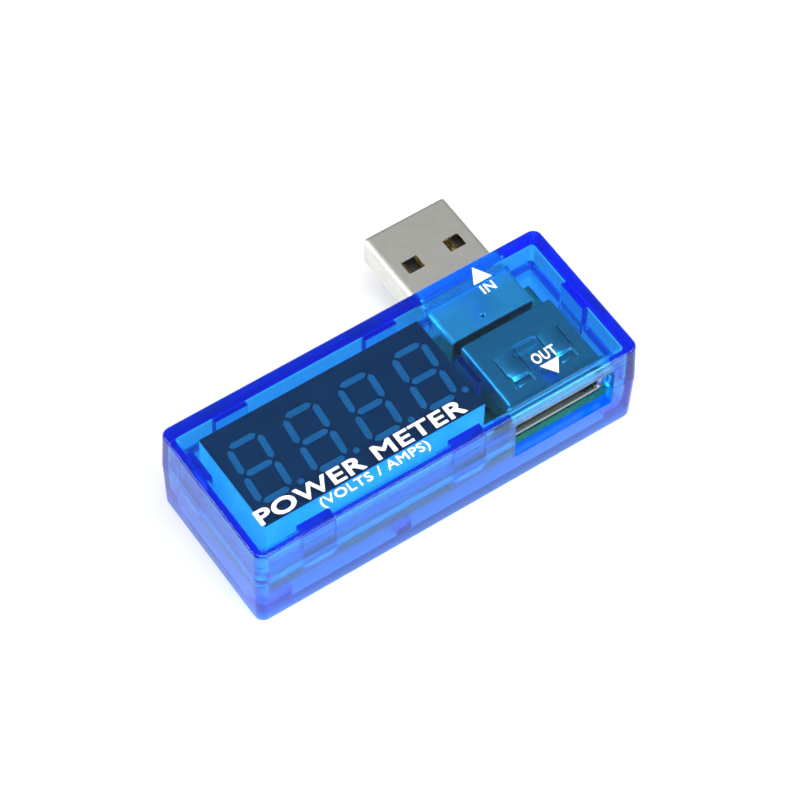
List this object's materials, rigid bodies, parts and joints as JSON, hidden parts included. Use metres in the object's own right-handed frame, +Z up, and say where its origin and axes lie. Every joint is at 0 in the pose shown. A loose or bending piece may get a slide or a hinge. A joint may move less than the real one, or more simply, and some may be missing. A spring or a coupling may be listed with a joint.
{
  "type": "usb power meter",
  "caption": "Small plug-in meter in a clear blue two-part box, with a digital display, a plug at the back and a socket at the front.",
  "frame": {"origin": "centre of the underside of the whole object's box, plug included", "axes": "+X along the display from its first digit towards the connectors, +Y out of the plug's tip, +Z up through the display"},
  "size_m": [0.054, 0.034, 0.0141],
  "materials": {
    "casing_blue": "clear blue moulded plastic, polished outside",
    "board_green": "green solder mask over a glass fibre board",
    "nickel_steel": "nickel plated sheet steel, satin",
    "gold_contact": "gold flashed copper alloy",
    "black_plastic": "moulded connector plastic, satin",
    "white_plastic": "moulded white plastic, satin",
    "mask_ink": "dark printed face, semi gloss",
    "milky_resin": "milky epoxy that spreads the light",
    "tin_pin": "tinned wire",
    "chip_black": "black moulded chip body with tinned leads",
    "resistor_black": "glazed black resistor film with tinned ends",
    "capacitor_tan": "tan ceramic with tinned ends"
  },
  "bodies": {
    "root": {"upper_casing": "casing_blue", "lower_casing": "casing_blue", "circuit_board": "board_green", "plug_shell": "nickel_steel", "receptacle_shell": "nickel_steel", "plug_contact_1": "gold_contact", "plug_contact_2": "gold_contact", "plug_contact_3": "gold_contact", "plug_contact_4": "gold_contact", "receptacle_contact_1": "gold_contact", "receptacle_contact_2": "gold_contact", "receptacle_contact_3": "gold_contact", "receptacle_contact_4": "gold_contact", "plug_insulator": "black_plastic", "receptacle_insulator": "white_plastic", "display_housing": "white_plastic", "display_diode_board": "white_plastic", "display_mask": "mask_ink", "display_resin": "milky_resin", "display_pin_01": "tin_pin", "display_pin_02": "tin_pin", "display_pin_03": "tin_pin", "display_pin_04": "tin_pin", "display_pin_05": "tin_pin", "display_pin_06": "tin_pin", "display_pin_07": "tin_pin", "display_pin_08": "tin_pin", "display_pin_09": "tin_pin", "display_pin_10": "tin_pin", "display_pin_11": "tin_pin", "display_pin_12": "tin_pin", "microcontroller": "chip_black", "sense_amplifier": "chip_black", "voltage_regulator": "chip_black", "shunt_resistor": "resistor_black", "chip_resistor_1": "resistor_black", "chip_resistor_2": "resistor_black", "chip_resistor_3": "resistor_black", "chip_resistor_4": "resistor_black", "chip_capacitor_1": "capacitor_tan", "chip_capacitor_2": "capacitor_tan"}
  },
  "joints": []
}
